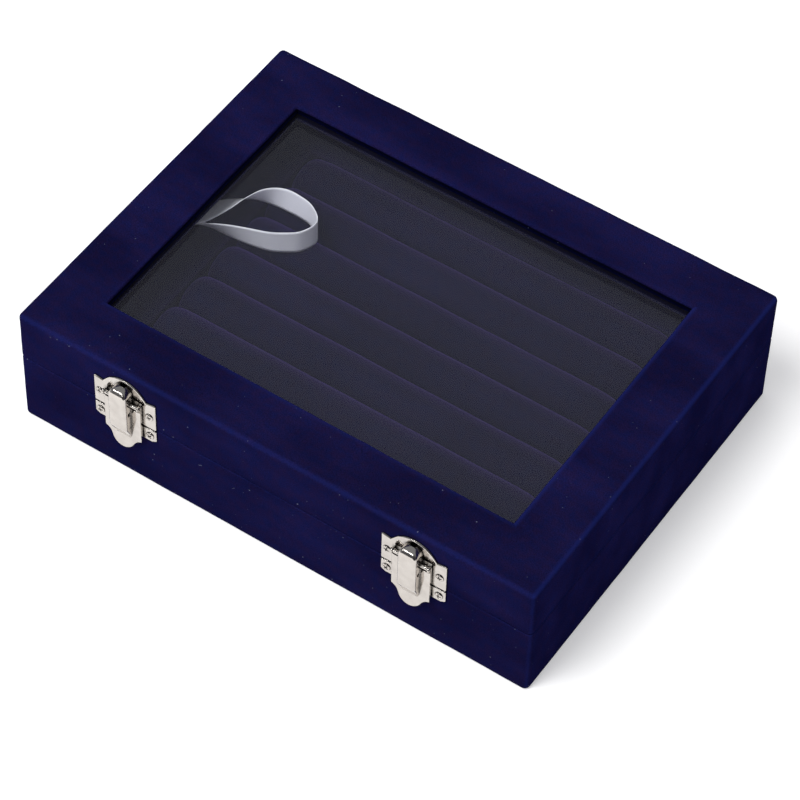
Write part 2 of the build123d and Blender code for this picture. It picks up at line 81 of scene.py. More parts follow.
# %% Light the box
even_room = (0.47, 0.47, 0.49, 1)
light_side = (0.285, 0.295, 0.315, 1)
dark_card = (0.05, 0.05, 0.06, 1)
dark_direction = (0.62, -0.72, -0.32)
box_middle = (0, 0, 0.03)
scene = bpy.context.scene
scene.view_settings.view_transform = "Standard"
world = bpy.data.worlds.new("studio")
scene.world = world
world.use_nodes = True
sky = world.node_tree
sky.nodes.clear()
direction = sky.nodes.new("ShaderNodeTexCoord")
towards_dark = sky.nodes.new("ShaderNodeVectorMath")
room_ramp = sky.nodes.new("ShaderNodeValToRGB")
sky_rays = sky.nodes.new("ShaderNodeLightPath")
room = sky.nodes.new("ShaderNodeMix")
background = sky.nodes.new("ShaderNodeBackground")
world_output = sky.nodes.new("ShaderNodeOutputWorld")
towards_dark.operation = "DOT_PRODUCT"
towards_dark.inputs[1].default_value = dark_direction
room.data_type = "RGBA"
room.inputs[6].default_value = even_room
sky.links.new(direction.outputs["Generated"], towards_dark.inputs[0])
sky.links.new(towards_dark.outputs["Value"], room_ramp.inputs["Fac"])
sky.links.new(sky_rays.outputs["Is Glossy Ray"], room.inputs[0])
sky.links.new(room_ramp.outputs["Color"], room.inputs[7])
sky.links.new(room.outputs[2], background.inputs["Color"])
sky.links.new(background.outputs[0], world_output.inputs["Surface"])
room_ramp.color_ramp.elements[0].position = 0.02
room_ramp.color_ramp.elements[0].color = light_side
room_ramp.color_ramp.elements[1].position = 0.50
room_ramp.color_ramp.elements[1].color = dark_card


def soft_lamp(name, place, aim, wide, high, power):
    """A lamp so many metres wide and high at place, turned to face aim. Power is in watts."""
    data = bpy.data.lights.new(name, "AREA")
    data.shape = "RECTANGLE"
    data.size = wide
    data.size_y = high
    data.energy = power
    lamp = bpy.data.objects.new(name, data)
    scene.collection.objects.link(lamp)
    lamp.location = place
    lamp.rotation_euler = (Vector(aim) - Vector(place)).to_track_quat("-Z", "Y").to_euler()
    return lamp


key_lamp = soft_lamp("key_lamp", (-0.30, -0.70, 1.60), box_middle, 0.75, 0.75, 21)
fill_lamp = soft_lamp("fill_lamp", (-0.45, -1.60, 0.75), box_middle, 0.8, 0.8, 3.5)
key_lamp.visible_glossy = False
fill_lamp.visible_glossy = False
soft_lamp("streak_lamp", (-0.60, -1.25, 1.10), box_middle, 0.60, 0.07, 2.5)

# %% [markdown]
# The table is one white sheet. It glows a little for the camera and for reflections only, so that it
# reads as white paper while the box's shadow still falls on it as a pale grey.

# %% Lay the table
table_half = 4.0
paper_white = (0.86, 0.86, 0.86, 1)
paper_glow = 0.30
table = bpy.data.meshes.new("table")
corners = [(-table_half, -table_half, 0), (table_half, -table_half, 0),
           (table_half, table_half, 0), (-table_half, table_half, 0)]
table.from_pydata(corners, [], [(0, 1, 2, 3)])
table_top = bpy.data.objects.new("table", table)
scene.collection.objects.link(table_top)
paper = bpy.data.materials.new("white_paper")
paper.use_nodes = True
paper_nodes = paper.node_tree.nodes
paper_links = paper.node_tree.links
paper_shader = paper_nodes["Principled BSDF"]
paper_shader.inputs["Base Color"].default_value = paper_white
paper_shader.inputs["Roughness"].default_value = 0.9
paper_shader.inputs["Specular IOR Level"].default_value = 0.1
paper_shader.inputs["Emission Color"].default_value = (1, 1, 1, 1)
rays = paper_nodes.new("ShaderNodeLightPath")
seen = paper_nodes.new("ShaderNodeMath")
seen.operation = "MAXIMUM"
paper_links.new(rays.outputs["Is Camera Ray"], seen.inputs[0])
paper_links.new(rays.outputs["Is Glossy Ray"], seen.inputs[1])
glow = paper_nodes.new("ShaderNodeMath")
glow.operation = "MULTIPLY"
glow.inputs[1].default_value = paper_glow
paper_links.new(seen.outputs[0], glow.inputs[0])
paper_links.new(glow.outputs[0], paper_shader.inputs["Emission Strength"])
table.materials.append(paper)
print("table", 2 * table_half, "m across")

# %% [markdown]
# Every soft piece below is a sheet of points worked out with numpy. One helper joins the points into
# quads and lays the two parameters down as a UV map, in millimetres, so a weave keeps its scale. A
# value for each point can be kept with the mesh too: how much light or shade is painted there.


# %% Join points into a surface
def surface_piece(name, points, close_along=False, close_across=False, painted_light=None, ends=()):
    """Rows of points (along, across, 3) in metres, each joined to its neighbours by quads. An end that
    is named in ends, 0 or -1, is closed by a fan to the middle of its row. The UV map is how far each
    row and each column lies from the first, summed from the mean steps between them."""
    rows, columns, _ = points.shape
    i = np.arange(rows if close_along else rows - 1)[:, None]
    j = np.arange(columns if close_across else columns - 1)[None, :]
    below = (i + 1) % rows
    beside = (j + 1) % columns
    quads = np.stack([i * columns + j, below * columns + j, below * columns + beside,
                      i * columns + beside], axis=-1).reshape(-1, 4)
    flat = points.reshape(-1, 3)
    faces = [quads]
    for end in ends:
        middle = points[end].mean(axis=0)
        flat = np.vstack([flat, middle])
        row = (rows - 1 if end else 0) * columns + np.arange(columns)
        after = np.roll(row, -1)
        pole = np.full(columns, len(flat) - 1)
        fan = np.stack([row, pole, after] if end else [row, after, pole], axis=-1)
        faces.append(fan[:, ::-1])
    mesh = bpy.data.meshes.new(name)
    mesh.from_pydata(flat.tolist(), [], [face for block in faces for face in block.tolist()])
    steps_along = np.linalg.norm(np.diff(points, axis=0, append=points[:1]), axis=2).mean(axis=1)
    steps_across = np.linalg.norm(np.diff(points, axis=1, append=points[:, :1]), axis=2).mean(axis=0)
    along = np.cumsum(steps_along) - steps_along[0]
    across = np.cumsum(steps_across) - steps_across[0]
    uv = np.zeros((len(flat), 2))
    uv[:rows * columns, 0] = np.repeat(along, columns) / mm
    uv[:rows * columns, 1] = np.tile(across, rows) / mm
    corner = np.zeros(len(mesh.loops), dtype=np.int32)
    mesh.loops.foreach_get("vertex_index", corner)
    layer = mesh.uv_layers.new(name="UVMap")
    layer.data.foreach_set("uv", uv[corner].astype(np.float32).ravel())
    # Per-point value of painted light: a painted sheen highlight where positive, painted shade where
    # negative.
    if painted_light is not None:
        painted_amount = np.zeros(len(flat), dtype=np.float32)
        painted_amount[:rows * columns] = painted_light.ravel()
        mesh.attributes.new("painted_light", "FLOAT", "POINT").data.foreach_set("value", painted_amount)
    mesh.polygons.foreach_set("use_smooth", np.ones(len(mesh.polygons), dtype=bool))
    mesh.update()
    piece = bpy.data.objects.new(name, mesh)
    scene.collection.objects.link(piece)
    print(name, len(mesh.polygons), "faces")
    return piece


def soft_waves(points, seed, length, height, count=9):
    """How far cloth stands off its shape: a sum of sine waves in random directions and phases, each
    0.6 to 1.6 times length metres long. The sum is about height metres high."""
    chance = np.random.default_rng(seed)
    way = chance.normal(size=(count, 3))
    way /= np.linalg.norm(way, axis=1)[:, None]
    pace = 2 * math.pi / (length * chance.uniform(0.6, 1.6, count))
    phase = chance.uniform(0, 2 * math.pi, count)
    waves = np.sin(points @ (way * pace[:, None]).T + phase)
    return waves.sum(axis=-1) * height / math.sqrt(count)


print("helpers", surface_piece.__name__, soft_waves.__name__)


# %% [markdown]
# ## Finishes
# Every finish here is a few noises that steer one Principled shader. Wiring them by hand repeats the
# same lines, so four helpers do it: one starts a material, one adds a noise that keeps its scale in
# metres, one turns a number into colours and one mixes two colours.


# %% Set out the material helpers
def finish_nodes(name):
    """An empty material with its Principled shader, and a way to add nodes to it."""
    material = bpy.data.materials.new(name)
    material.use_nodes = True
    shader = material.node_tree.nodes["Principled BSDF"]

    def add(kind, **values):
        node = material.node_tree.nodes.new(kind)
        for key, value in values.items():
            setattr(node, key, value)
        return node

    return material, shader, add, material.node_tree.links.new


def noise_on(add, link, place, scale, detail, stretch=None):
    """A noise texture at so many features to the metre. Along an axis where stretch is under one its
    features are drawn out, and where it is over one they are squeezed."""
    noise = add("ShaderNodeTexNoise")
    noise.inputs["Scale"].default_value = scale
    noise.inputs["Detail"].default_value = detail
    if stretch is None:
        link(place, noise.inputs["Vector"])
    else:
        mapping = add("ShaderNodeMapping")
        mapping.inputs["Scale"].default_value = stretch
        link(place, mapping.inputs["Vector"])
        link(mapping.outputs[0], noise.inputs["Vector"])
    return noise


def colour_steps(add, link, value, stops):
    """A colour ramp over value, with a stop for each position and colour."""
    ramp = add("ShaderNodeValToRGB")
    while len(ramp.color_ramp.elements) < len(stops):
        ramp.color_ramp.elements.new(0.5)
    for element, (position, colour) in zip(ramp.color_ramp.elements, stops):
        element.position = position
        element.color = (*colour, 1)
    link(value, ramp.inputs["Fac"])
    return ramp.outputs["Color"]


def mix_colours(add, link, share, first, second, way="MIX"):
    """Two colours mixed by a share, each given as a socket or as three numbers."""
    mix = add("ShaderNodeMix", data_type="RGBA", blend_type=way)
    for value, socket in ((share, mix.inputs[0]), (first, mix.inputs[6]), (second, mix.inputs[7])):
        if isinstance(value, (tuple, float, int)):
            socket.default_value = (*value, 1) if isinstance(value, tuple) else value
        else:
            link(value, socket)
    return mix.outputs[2]


print("helpers", finish_nodes.__name__, noise_on.__name__, colour_steps.__name__, mix_colours.__name__)


# %% [markdown]
# Flock velvet is a very short pile of nylon stood on end. It is nearly black where you look down
# into it and blue where you look across it, which is what the shader's sheen is for. A fine noise
# gives the tufts, a coarser one small patches that lean to brown or to blue, and a stretched one the
# marks of a hand that brushed it. Along the bends a lighter colour is painted in as a sheen
# highlight, and down the window's walls a near-black colour is painted in as shade: each point's
# value of painted light says which. The covers also carry a little lint.

# %% Make the velvets
streaks_per_metre, patches_per_metre, lint_per_metre = 38, 340, 900
brushed_way = (0.5, 1.6, 1.2)
bluer, browner = (0.78, 0.98, 1.04), (1.18, 0.98, 0.90)
# Near-black colour painted in as shade on the window's walls.
painted_shade_colour = (0.0012, 0.0014, 0.004)
lint_colour = (0.12, 0.13, 0.20)


def flock_velvet(name, deep, brushed, sheen, sheen_weight, tuft, grain, lint=0.0, painted_sheen=None):
    """Flock pile: deep where it stands upright and brushed in soft streaks. Given a colour of painted
    sheen, the painted-light attribute paints that highlight in where positive and paints dark shade in
    where negative. Tufts number so many to the metre, and grain is the share by which they are lighter
    and darker."""
    material, shader, add, link = finish_nodes(name)
    place = add("ShaderNodeTexCoord").outputs["Object"]
    streaks = noise_on(add, link, place, streaks_per_metre, 4, brushed_way)
    patches = noise_on(add, link, place, patches_per_metre, 3)
    tufts = noise_on(add, link, place, tuft, 2)
    streak_colour = colour_steps(add, link, streaks.outputs["Fac"], [(0.38, deep), (0.68, brushed)])
    patch_tint = colour_steps(add, link, patches.outputs["Fac"], [(0.36, bluer), (0.64, browner)])
    tuft_shade = colour_steps(add, link, tufts.outputs["Fac"],
                              [(0.3, (1 - grain,) * 3), (0.72, (1 + grain,) * 3)])
    pile = mix_colours(add, link, 1.0, streak_colour, patch_tint, "MULTIPLY")
    pile = mix_colours(add, link, 1.0, pile, tuft_shade, "MULTIPLY")
    if painted_sheen:
        # Painted sheen: a lighter colour mixed in by the point's painted-light value.
        painted_light = add("ShaderNodeAttribute", attribute_name="painted_light")
        pile = mix_colours(add, link, painted_light.outputs["Fac"], pile, painted_sheen)
        # Painted shade: where that value is negative, a near-black colour is mixed in.
        painted_shade_share = add("ShaderNodeMath", operation="MULTIPLY", use_clamp=True)
        painted_shade_share.inputs[1].default_value = -1.0
        link(painted_light.outputs["Fac"], painted_shade_share.inputs[0])
        pile = mix_colours(add, link, painted_shade_share.outputs[0], pile, painted_shade_colour)
    if lint:
        dust = noise_on(add, link, place, lint_per_metre, 1)
        specks = colour_steps(add, link, dust.outputs["Fac"],
                              [(1 - lint, (0,) * 3), (1 - lint + 0.02, (1,) * 3)])
        pile = mix_colours(add, link, specks, pile, lint_colour)
    link(pile, shader.inputs["Base Color"])
    shade = add("ShaderNodeMapRange")
    shade.inputs["To Min"].default_value = 0.82
    shade.inputs["To Max"].default_value = 1.0
    link(streaks.outputs["Fac"], shade.inputs["Value"])
    link(shade.outputs[0], shader.inputs["Roughness"])
    shader.inputs["Specular IOR Level"].default_value = 0.0
    shader.inputs["Sheen Weight"].default_value = sheen_weight
    shader.inputs["Sheen Roughness"].default_value = 0.38
    shader.inputs["Sheen Tint"].default_value = (*sheen, 1)
    bump = add("ShaderNodeBump")
    bump.inputs["Strength"].default_value = grain
    bump.inputs["Distance"].default_value = 0.0001
    link(tufts.outputs["Fac"], bump.inputs["Height"])
    link(bump.outputs[0], shader.inputs["Normal"])
    return material


# The last colour of the outer and inner velvets is the painted sheen highlight.
outer_velvet = flock_velvet("outer_velvet", (0.0056, 0.0048, 0.029), (0.0096, 0.0084, 0.050),
                            (0.03, 0.06, 0.60), 0.07, tuft=2600, grain=0.45, lint=0.21,
                            painted_sheen=(0.010, 0.017, 0.12))
inner_velvet = flock_velvet("inner_velvet", (0.0044, 0.0038, 0.018), (0.0066, 0.0058, 0.027),
                            (0.26, 0.20, 0.80), 0.20, tuft=2400, grain=0.15,
                            painted_sheen=(0.024, 0.013, 0.064))
lining_velvet = flock_velvet("lining_velvet", (0.0042, 0.0040, 0.018), (0.0064, 0.0060, 0.027),
                             (0.16, 0.16, 0.65), 0.40, tuft=4200, grain=0.2)
print("velvets", outer_velvet.name, inner_velvet.name, lining_velvet.name)

# %% [markdown]
# Nickel plate over pressed steel is a warm grey mirror. It is never quite clean: fingers leave
# faint clouds in its gloss and the press leaves a slight ripple. Both go into roughness and bump.
# Edges are eased as a press leaves them, and shade is painted into the slots of the screws, round
# their rims, and into the narrow gaps between the catch's parts.

# %% Make the metals
clouds_per_metre, rolled_per_metre, pressed_per_metre = 260, 900, 420
# How far ambient occlusion looks for the narrow gaps that get painted shade.
narrow_gap = 0.0018
# Colour of the shade painted into screw slots and round their rims.
slot_painted_shade = (0.035, 0.032, 0.030)


def plated(name, colour, clouded, gloss, rough, ripple, rolled=None, edge_ease_and_gap_shade=0.0, painted_slot_shade=False):
    """Plated metal whose gloss wanders between two roughnesses in clouds, with a ripple so many metres
    high, which rolled draws out along one way. Given an edge radius, its edges are eased by so many
    metres and shade is painted into its narrow gaps, and with the slot flag the painted-light attribute
    paints shade into its slots."""
    material, shader, add, link = finish_nodes(name)
    place = add("ShaderNodeTexCoord").outputs["Object"]
    clouds = noise_on(add, link, place, clouds_per_metre, 4)
    tint = colour_steps(add, link, clouds.outputs["Fac"], [(0.3, clouded), (0.65, colour)])
    # Painted shade: narrow gaps found by ambient occlusion darken the colour.
    if edge_ease_and_gap_shade:
        gap = add("ShaderNodeAmbientOcclusion", samples=8)
        gap.inputs["Distance"].default_value = narrow_gap
        painted_gap_shade = colour_steps(add, link, gap.outputs["AO"], [(0.42, (0.03,) * 3), (0.82, (1.0,) * 3)])
        tint = mix_colours(add, link, 1.0, tint, painted_gap_shade, "MULTIPLY")
    # Painted shade: the painted-light attribute darkens the screw slots and rims.
    if painted_slot_shade:
        painted_light = add("ShaderNodeAttribute", attribute_name="painted_light")
        tint = mix_colours(add, link, painted_light.outputs["Fac"], tint, slot_painted_shade)
    link(tint, shader.inputs["Base Color"])
    shader.inputs["Metallic"].default_value = 1.0
    gloss_range = add("ShaderNodeMapRange")
    gloss_range.inputs["To Min"].default_value = gloss
    gloss_range.inputs["To Max"].default_value = rough
    link(clouds.outputs["Fac"], gloss_range.inputs["Value"])
    link(gloss_range.outputs[0], shader.inputs["Roughness"])
    waves = noise_on(add, link, place, rolled_per_metre if rolled else pressed_per_metre, 2, rolled)
    bump = add("ShaderNodeBump")
    bump.inputs["Strength"].default_value = 0.25
    bump.inputs["Distance"].default_value = ripple
    link(waves.outputs["Fac"], bump.inputs["Height"])
    if edge_ease_and_gap_shade:
        eased = add("ShaderNodeBevel", samples=4)
        eased.inputs["Radius"].default_value = edge_ease_and_gap_shade
        link(eased.outputs[0], bump.inputs["Normal"])
    link(bump.outputs[0], shader.inputs["Normal"])
    return material


catch_nickel = plated("catch_nickel", (0.61, 0.57, 0.525), (0.53, 0.49, 0.45), 0.08, 0.20, 0.00004,
                      edge_ease_and_gap_shade=0.00025)
screw_nickel = plated("screw_nickel", (0.62, 0.575, 0.525), (0.52, 0.48, 0.44), 0.12, 0.26, 0.00004,
                      painted_slot_shade=True)
hinge_nickel = plated("hinge_nickel", (0.66, 0.64, 0.60), (0.52, 0.50, 0.47), 0.22, 0.42, 0.00004,
                      rolled=(0.15, 1.0, 1.0))
spring_steel = plated("spring_steel", (0.48, 0.48, 0.50), (0.36, 0.36, 0.38), 0.28, 0.45, 0.00003,
                      rolled=(1.0, 1.0, 0.2))
print("metals", catch_nickel.name, screw_nickel.name, hinge_nickel.name, spring_steel.name)

# %% [markdown]
# The window is a plain sheet of float glass. Most light goes straight through, and more of it is
# mirrored as the eye nears the surface. A clear shader is mixed with one that is nine tenths mirror
# and one tenth dust, so the room greys what lies beneath. It doesn't bend light, so lamps still
# reach inside.

# %% Make the window glass
mirror_facing, mirror_grazing, mirror_power = 0.038, 0.96, 5.0


def clear_glass(name):
    """Float glass: straight-through light and a dusty mirror. The mirror's share is about a
    twenty-fifth, plus the rest times the fifth power of how far the surface turns from the eye."""
    material, shader, add, link = finish_nodes(name)
    clear = add("ShaderNodeBsdfTransparent")
    clear.inputs["Color"].default_value = (0.985, 0.995, 0.99, 1)
    facing = add("ShaderNodeLayerWeight")
    facing.inputs["Blend"].default_value = 0.5
    steep = add("ShaderNodeMath", operation="POWER")
    steep.inputs[1].default_value = mirror_power
    link(facing.outputs["Facing"], steep.inputs[0])
    share = add("ShaderNodeMath", operation="MULTIPLY_ADD")
    share.inputs[1].default_value = mirror_grazing
    share.inputs[2].default_value = mirror_facing
    link(steep.outputs[0], share.inputs[0])
    shader.inputs["Base Color"].default_value = (0.84, 0.84, 1.0, 1)
    shader.inputs["Metallic"].default_value = 0.9
    place = add("ShaderNodeTexCoord").outputs["Object"]
    wipe = noise_on(add, link, place, 55, 3, (0.4, 1.5, 1.0))
    smear = add("ShaderNodeMapRange")
    smear.inputs["To Min"].default_value = 0.01
    smear.inputs["To Max"].default_value = 0.06
    link(wipe.outputs["Fac"], smear.inputs["Value"])
    link(smear.outputs[0], shader.inputs["Roughness"])
    mix = add("ShaderNodeMixShader")
    link(share.outputs[0], mix.inputs[0])
    link(clear.outputs[0], mix.inputs[1])
    link(shader.outputs[0], mix.inputs[2])
    output = material.node_tree.nodes["Material Output"]
    link(mix.outputs[0], output.inputs["Surface"])
    return material


window_glass = clear_glass("window_glass")
print("glass", window_glass.name)

# %% [markdown]
# Satin is woven so that long threads lie loose on its face and gleam along the ribbon. Its finish
# follows the ribbon's own UV map, in millimetres along and across, so the threads bend where it
# bends. One noise, drawn out along the ribbon, gives their shade, their gloss and their height.


# %% Make the satin
def satin_weave(name):
    """Satin ribbon: threads in two shades, four times as long as the noise alone would make them and
    a ninth as wide, with gloss and height from the same noise."""
    material, shader, add, link = finish_nodes(name)
    along = add("ShaderNodeUVMap", uv_map="UVMap").outputs[0]
    threads = noise_on(add, link, along, 2.2, 2, (0.25, 9.0, 1.0))
    tint = colour_steps(add, link, threads.outputs["Fac"],
                        [(0.3, (0.76, 0.74, 0.92)), (0.62, (0.95, 0.94, 1.0))])
    link(tint, shader.inputs["Base Color"])
    gleam = add("ShaderNodeMapRange")
    gleam.inputs["To Min"].default_value = 0.34
    gleam.inputs["To Max"].default_value = 0.55
    link(threads.outputs["Fac"], gleam.inputs["Value"])
    link(gleam.outputs[0], shader.inputs["Roughness"])
    shader.inputs["Sheen Weight"].default_value = 0.25
    shader.inputs["Sheen Roughness"].default_value = 0.3
    shader.inputs["Anisotropic"].default_value = 0.5
    bump = add("ShaderNodeBump")
    bump.inputs["Strength"].default_value = 0.35
    bump.inputs["Distance"].default_value = 0.00008
    link(threads.outputs["Fac"], bump.inputs["Height"])
    link(bump.outputs[0], shader.inputs["Normal"])
    return material


satin = satin_weave("satin")
print("satin", satin.name)

# %% [markdown]
# Felt, fibreboard and grey card are all fibres matted or pressed together, so they share one recipe
# and differ only in colour, scale and depth. The board's fibres are drawn out sideways, as in a
# sheet that was pressed flat.


# %% Make the felt and boards
def matted(name, dark, light, scale, rough, depth, stretch=None):
    """Fibres in two shades, so many to the metre, with a rough surface uneven by depth metres."""
    material, shader, add, link = finish_nodes(name)
    place = add("ShaderNodeTexCoord").outputs["Object"]
    fibres = noise_on(add, link, place, scale, 6, stretch)
    link(colour_steps(add, link, fibres.outputs["Fac"], [(0.3, dark), (0.7, light)]),
         shader.inputs["Base Color"])
    shade = add("ShaderNodeMapRange")
    shade.inputs["To Min"].default_value = rough - 0.12
    shade.inputs["To Max"].default_value = rough
    link(fibres.outputs["Fac"], shade.inputs["Value"])
    link(shade.outputs[0], shader.inputs["Roughness"])
    shader.inputs["Specular IOR Level"].default_value = 0.2
    bump = add("ShaderNodeBump")
    bump.inputs["Strength"].default_value = 0.5
    bump.inputs["Distance"].default_value = depth
    link(fibres.outputs["Fac"], bump.inputs["Height"])
    link(bump.outputs[0], shader.inputs["Normal"])
    return material


felt = matted("felt", (0.006, 0.006, 0.016), (0.022, 0.022, 0.046), 700, 0.95, 0.0003)
fibreboard = matted("fibreboard", (0.30, 0.21, 0.125), (0.46, 0.34, 0.21), 420, 0.85, 0.0001, (1, 1, 3))
grey_card = matted("grey_card", (0.22, 0.21, 0.19), (0.36, 0.34, 0.31), 600, 0.85, 0.00006)
print("matted", felt.name, fibreboard.name, grey_card.name)

# %% [markdown]
# ## Dress the frame
# Boards, hinges, catches and glass are right as they come from the workshop, so they only get their
# finish. The names of the nodes say what each one is made of.

# %% Give the rigid pieces their finish
finish_of = [("_lining", lining_velvet), ("glass_frame", lining_velvet), ("glass_pane", window_glass),
             ("floor_card", grey_card), ("base_felt", felt), ("_board", fibreboard),
             ("lid_top_frame", fibreboard), ("_spring", spring_steel), ("hinge", hinge_nickel),
             ("catch", catch_nickel)]
for name, node in nodes.items():
    chosen = [material for part, material in finish_of if part in name]
    if chosen:
        node.data.materials.clear()
        node.data.materials.append(chosen[0])
print("dressed", sum(1 for node in nodes.values() if node.data.materials))

# %% [markdown]
# ## The velvet covers
# The cover of a box like this is one strip glued over the boards, turned in at the rim and, on the
# lid, down into the window. It is one profile carried round a rectangle: each point of the profile
# becomes a ring, and near the box's upright edges the ring's corners are rounded by that point's own
# radius. The profile is the cut through the cloth, so the shell is closed like the real thing.


# %% Carry a profile round a rectangle
def ringed_surface(half_length, half_width, radius, height, side_points=60, corner_points=7):
    """Points (profile, round, 3) in metres from sizes in millimetres: a rectangle with quarter-circle
    corners at each height of the profile. A corner is its centre plus radius times the cosine and sine
    of an angle that turns by a right angle, and a side runs to the next corner in equal steps."""
    long, wide, rounding = (np.asarray(size, dtype=float)[:, None, None]
                            for size in (half_length, half_width, radius))
    angle = np.linspace(0, math.pi / 2, corner_points) + np.arange(4)[:, None] * math.pi / 2
    to_x = np.array([1, -1, -1, 1])[:, None]
    to_y = np.array([1, 1, -1, -1])[:, None]
    corners = np.stack([to_x * (long - rounding) + rounding * np.cos(angle),
                        to_y * (wide - rounding) + rounding * np.sin(angle)], axis=-1)
    after = np.roll(corners[:, :, :1], -1, axis=1)
    share = np.linspace(0, 1, side_points + 2)[1:-1, None]
    sides = corners[:, :, -1:] * (1 - share) + after * share
    flat = np.concatenate([corners, sides], axis=2).reshape(len(corners), -1, 2)
    upright = np.broadcast_to(np.asarray(height, dtype=float)[:, None, None], (*flat.shape[:2], 1))
    return np.concatenate([flat, upright], axis=2) * mm


print("points in a ring", ringed_surface([10], [8], [2], [0]).shape[1])


# %% [markdown]
# A profile is written as straight runs and rounded bends. Beside its place, each point says how much
# light is painted there: a sheen highlight where the cloth bends, and shade where the value is negative.


# %% Draw runs and bends
def bend(centre_in, centre_height, radius, start, stop, steps=9, painted_peak=0.35, spread=8, painted_from=0.0):
    """Points (way in, height, painted light) of a rounded edge: a centre plus radius times the cosine
    and sine of an angle, from straight out of the box towards straight up. The painted sheen is the
    peak value times a power of a sine, so it is brightest halfway round, or at the start when the sine
    starts from a quarter turn. The higher the power, given by spread, the narrower the painted line."""
    angle = np.radians(np.linspace(start, stop, steps))
    painted_amount = painted_peak * np.abs(np.sin(np.linspace(painted_from, math.pi, steps))) ** spread
    return np.stack([centre_in - radius * np.cos(angle), centre_height + radius * np.sin(angle),
                     painted_amount], axis=-1)


def run(start, stop, steps):
    """Points of a straight stretch, with no painted light: start and stop mixed in equal steps, both
    left out.
    """
    share = np.linspace(0, 1, steps + 2)[1:-1, None]
    points = np.array(start) * (1 - share) + np.array(stop) * share
    return np.hstack([points, np.zeros((steps, 1))])


print("points in a bend", len(bend(0, 0, 1, 0, 90)))


# %% [markdown]
# Cloth over boards is never quite flat: it stands off by a tenth of a millimetre in slow waves, and
# more where it is folded. The sheen painted along the folds is brightest on the right of the box,
# less in front and hardly there on the other two sides.

# %% Shape cloth over a box
box_length, box_width, box_height = 200.0, 150.0, 50.0
edge_round = 2.0
long_wave, short_wave = 0.024, 0.007
# Painted sheen on each side of the box: right, front, left, back.
painted_sheen_by_side = np.array([1.0, 0.5, 0.15, 0.15])
corner_reach, corner_painted_sheen = 1.5, 0.3


def velvet_cover(name, profile, seed, puff):
    """Cloth over a box: profile points are (way in from the outer face, height, painted light). Each
    point is moved along the surface's own normal by waves up to puff metres high, most along the
    folds. The painted sheen is weighted by the side of the box that is nearest, and one more painted
    highlight runs down the front right corner, where the ways in from both its sides are equal."""
    inset, height, painted_light = profile.T
    half_length = box_length / 2 - inset
    half_width = box_width / 2 - inset
    radius = np.maximum(edge_round - inset, 0.4)
    points = ringed_surface(half_length, half_width, radius, height)
    along = np.roll(points, -1, axis=0) - np.roll(points, 1, axis=0)
    across = np.roll(points, -1, axis=1) - np.roll(points, 1, axis=1)
    normal = np.cross(across, along)
    normal /= np.linalg.norm(normal, axis=2)[..., None] + 1e-12
    x, y = points[..., 0] / mm, points[..., 1] / mm
    from_sides = np.stack([box_length / 2 - x, box_width / 2 + y, box_length / 2 + x, box_width / 2 - y])
    side_sheen = painted_sheen_by_side[np.argmin(from_sides, axis=0)]
    painted_amount = painted_light[:, None] * np.where(painted_light[:, None] < 0, 1.0, side_sheen)
    off_corner = np.abs(from_sides[0] - from_sides[1]) / corner_reach
    # A painted highlight down the front right corner.
    painted_amount = painted_amount + corner_painted_sheen * (np.clip(1 - off_corner, 0, 1) * (inset[:, None] < 0.5))
    stands_off = soft_waves(points, seed, long_wave, puff)
    stands_off = stands_off + soft_waves(points, seed + 1, short_wave, puff * 0.35)
    points = points + normal * (stands_off * (0.4 + 0.6 * np.abs(painted_amount)))[..., None]
    return surface_piece(name, points, close_along=True, close_across=True, painted_light=painted_amount)


print("box", box_length, "by", box_width, "by", box_height, "mm")

# %% [markdown]
# The lid's profile runs from the rim on its inside, out and round the rim, up the side, over the top
# and down into the window, and comes back against the boards. The base's starts at its rim, goes
# down against the boards to the hem glued under the bottom, and back up the outside.

# %% Make the two covers
rim_round, window_round = 0.9, 0.7
cloth, board, hem = 1.0, 5.0, 14.0
lid_low, base_high = 29.5, 29.3
window_inset, painted_shade_from, above_glass = 21.0, 49.0, 47.02
felt_level, felt_inset = 0.5, 3.6
hem_drop, hem_round = 0.35, 1.0
inner = cloth + board
cover_puff = 0.10 * mm

# The third value of each point is painted light: a sheen highlight along the bends, shade (-1) down the
# window's walls.
lid_profile = np.vstack([
    [[inner, lid_low, 0.0]], run((inner, lid_low), (rim_round, lid_low), 4),
    bend(rim_round, lid_low + rim_round, rim_round, -90, 0),
    run((0, lid_low + rim_round), (0, box_height - edge_round), 14),
    bend(edge_round, box_height - edge_round, edge_round, 0, 90, 11, 0.55, 2),
    run((edge_round, box_height), (window_inset - window_round, box_height), 14),
    bend(window_inset - window_round, box_height - window_round, window_round, 90, 180, 9, 0.45, 3,
         math.pi / 2),
    [[window_inset, painted_shade_from, -1.0]], [[window_inset, above_glass, -1.0]],
    [[window_inset - cloth, above_glass, 0.0]],
    [[window_inset - cloth, box_height - cloth, 0.0]], [[cloth, box_height - cloth, 0.0]],
    [[cloth, lid_low + cloth, 0.0]], [[inner, lid_low + cloth, 0.0]]])
base_profile = np.vstack([
    [[inner, base_high, 0.0]], [[inner, base_high - cloth, 0.0]], [[cloth, base_high - cloth, 0.0]],
    [[cloth, felt_level + cloth, 0.0]], [[hem, felt_level + cloth, 0.0]], [[hem, felt_level, 0.0]],
    run((hem, felt_level), (felt_inset, felt_level), 6),
    bend(hem_round, felt_level - hem_drop + hem_round, hem_round, -90, 0),
    run((0, felt_level + hem_round), (0, base_high - rim_round), 14),
    bend(rim_round, base_high - rim_round, rim_round, 0, 90),
    run((rim_round, base_high), (inner, base_high), 4)])

